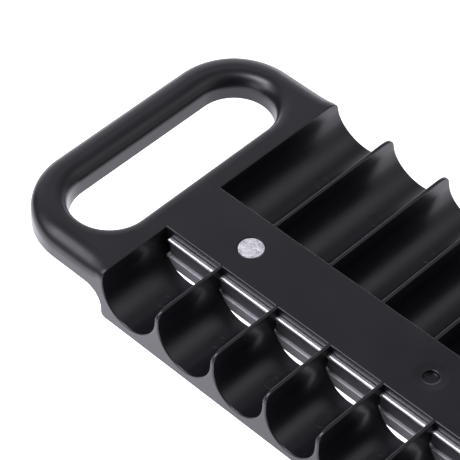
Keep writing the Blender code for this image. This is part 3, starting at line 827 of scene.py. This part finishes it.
# Aluminium as headed: a bare silvery white, mottled over about 3 mm where the die pressed it.
aluminium, tree, output = new_material("aluminium_headed")
place_at = add(tree, "ShaderNodeTexCoord").outputs["Object"]
mottle = add(tree, "ShaderNodeTexNoise", {
    "Vector": place_at, "Scale": 1 / MOTTLE, "Detail": 5.0, "Roughness": 0.65, "Distortion": 0.8,
})
streaks = add(tree, "ShaderNodeMapRange", {
    "Value": mottle.outputs["Fac"], "From Min": 0.35, "From Max": 0.65,
    "To Min": 0.0, "To Max": 1.0,
})
silver = add(tree, "ShaderNodeMix", {
    "Factor": streaks.outputs["Result"], "A": linear("#b0b0b4"), "B": linear("#ececee"),
}, data_type="RGBA")
sheen = add(tree, "ShaderNodeMapRange", {
    "Value": mottle.outputs["Fac"], "From Min": 0.3, "From Max": 0.7,
    "To Min": 0.45, "To Max": 0.65,
})
dents = add(tree, "ShaderNodeBump", {
    "Height": mottle.outputs["Fac"], "Strength": 1.0, "Distance": 0.6 * MM,
})
shader = add(tree, "ShaderNodeBsdfPrincipled", {
    "Base Color": silver.outputs["Result"], "Roughness": sheen.outputs["Result"],
    "Metallic": 1.0, "Normal": dents.outputs["Normal"],
})
tree.links.new(shader.outputs["BSDF"], output.inputs["Surface"])
for number, x in enumerate(RIVET_X, start=1):
    rivet = turned_rivet(f"headed_rivet_{number}", x)
    rivet.data.materials.append(aluminium)
    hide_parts(f"rivet_{number}")
    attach(rivet, "root")


# Pale floor
# A sheet of white paper that glows by its own emission: a painted pool of light, with no lamp
# behind it. It is brightest in front of the handle, where a painted spill of light adds to it, and
# it falls off before the studio's dark surround begins. The glow keeps the paper white under the
# tray.
FLOOR_HALF = 4.0
FLOOR_GAP = 0.1 * MM
POOL_RADIUS = 0.5
POOL_EDGE = 1.5
PAINTED_POOL_BRIGHTNESS = 1.5
PAINTED_EDGE_BRIGHTNESS = 0.25
SPILL_AT = (-0.16, -0.19, 0.0)
SPILL_RADIUS = 0.28
PAINTED_SPILL_BRIGHTNESS = 1.2
paper, tree, output = new_material("paper_glowing_painted_light")
over = add(tree, "ShaderNodeTexCoord").outputs["Object"]
apart = add(tree, "ShaderNodeVectorMath", {0: over}, operation="LENGTH")
# Painted pool of light: the paper's glow falls off from the middle towards the edge
pool = add(tree, "ShaderNodeMapRange", {
    "Value": apart.outputs["Value"], "From Min": POOL_RADIUS, "From Max": POOL_EDGE,
    "To Min": PAINTED_POOL_BRIGHTNESS, "To Max": PAINTED_EDGE_BRIGHTNESS,
}, interpolation_type="SMOOTHSTEP")
# Painted spill of light at the front left, in front of the handle
front = add(tree, "ShaderNodeVectorMath", {0: over, 1: SPILL_AT}, operation="DISTANCE")
spill = add(tree, "ShaderNodeMapRange", {
    "Value": front.outputs["Value"], "From Min": 0.0, "From Max": SPILL_RADIUS,
    "To Min": PAINTED_SPILL_BRIGHTNESS, "To Max": 0.0,
}, interpolation_type="SMOOTHSTEP")
level = add(tree, "ShaderNodeMath", {
    0: pool.outputs["Result"], 1: spill.outputs["Result"],
}, operation="ADD")
# The emission paints this light on the paper; no lamp casts it
shader = add(tree, "ShaderNodeBsdfPrincipled", {
    "Base Color": linear("#8c8c8c"), "Roughness": 0.9, "Specular IOR Level": 0.0,
    "Emission Color": linear("#f7f5ff"), "Emission Strength": level.outputs["Value"],
})
tree.links.new(shader.outputs["BSDF"], output.inputs["Surface"])
shape = bmesh.new()
bmesh.ops.create_grid(shape, x_segments=1, y_segments=1, size=FLOOR_HALF)
floor_mesh = bpy.data.meshes.new("floor_sweep")
shape.to_mesh(floor_mesh)
shape.free()
sweep = place("floor_sweep", floor_mesh)
sweep.location.z = -FLOOR_GAP
sweep.data.materials.append(paper)


# Studio light
# Soft boxes around the rail in a dark studio, each a soft-edged patch of the surround. The
# main light is high at the front left. Weaker ones are lower, in front, behind and at the right.
SOFT_BOXES = (
    # azimuth from +X towards +Y, elevation, tightness, brightness
    (235, 40, 45, 3.4), (224, 67, 60, 17.0), (265, 27, 45, 2.0), (220, 40, 45, 1.15),
    (265, 14, 45, 1.3), (228, 46, 45, 2.4), (245, 30, 14, 0.5), (120, 5, 45, 3.4),
    (135, 20, 45, 0.7), (153, 5, 45, 4.0), (90, 8, 14, 1.2), (45, 52, 14, 1.0),
    (147, 30, 14, 0.87), (30, 8, 14, 0.75), (72, 73, 14, 0.36), (16, 30, 14, 0.13),
    (0, 40, 14, 0.08),
)
world = bpy.data.worlds.new("studio")
bpy.context.scene.world = world
world.use_nodes = True
tree = world.node_tree
tree.nodes.clear()
direction = add(tree, "ShaderNodeTexCoord").outputs["Generated"]
total = 0.0
for azimuth, elevation, tightness, brightness in SOFT_BOXES:
    around, above = math.radians(azimuth), math.radians(elevation)
    flat = math.cos(above)
    toward = (math.cos(around) * flat, math.sin(around) * flat, math.sin(above))
    along = add(tree, "ShaderNodeVectorMath", {0: direction, 1: toward}, operation="DOT_PRODUCT")
    fall = add(tree, "ShaderNodeMath", {
        0: along.outputs["Value"], 1: tightness, 2: -tightness,
    }, operation="MULTIPLY_ADD")
    patch = add(tree, "ShaderNodeMath", {0: fall.outputs["Value"]}, operation="EXPONENT")
    total = add(tree, "ShaderNodeMath", {
        0: patch.outputs["Value"], 1: brightness, 2: total,
    }, operation="MULTIPLY_ADD").outputs["Value"]
glow = add(tree, "ShaderNodeBackground", {"Color": linear("#f9f7ff"), "Strength": total})
add(tree, "ShaderNodeOutputWorld", {"Surface": glow.outputs["Background"]})


# Camera
# A long lens at the photograph's angle, placed so that the rail runs out of the frame at the
# right and at the bottom. The frame is 460 by 460 pixels.
SENSOR = 36.0
FRAME_PIXELS = 460
FOCAL_PIXELS = 2444.6
CAMERA_AT = (0.41709, -0.57258, 0.85025)
CAMERA_AZIMUTH = 44.438
CAMERA_ELEVATION = 46.755
NEAREST_SEEN = 0.05
azimuth = math.radians(CAMERA_AZIMUTH)
elevation = math.radians(CAMERA_ELEVATION)
view = bpy.data.cameras.new("camera")
view.sensor_width = SENSOR
view.lens = SENSOR * FOCAL_PIXELS / FRAME_PIXELS
view.clip_start = NEAREST_SEEN
back = Vector((
    math.sin(azimuth) * math.cos(elevation), -math.cos(azimuth) * math.cos(elevation),
    math.sin(elevation),
))
right = Vector((math.cos(azimuth), math.sin(azimuth), 0.0))
up = back.cross(right)
turn = Matrix((right, up, back)).transposed().to_4x4()
camera = bpy.data.objects.new("camera", view)
camera.matrix_world = Matrix.Translation(CAMERA_AT) @ turn
bpy.context.scene.collection.objects.link(camera)
bpy.context.scene.camera = camera
bpy.context.scene.view_settings.view_transform = "Standard"
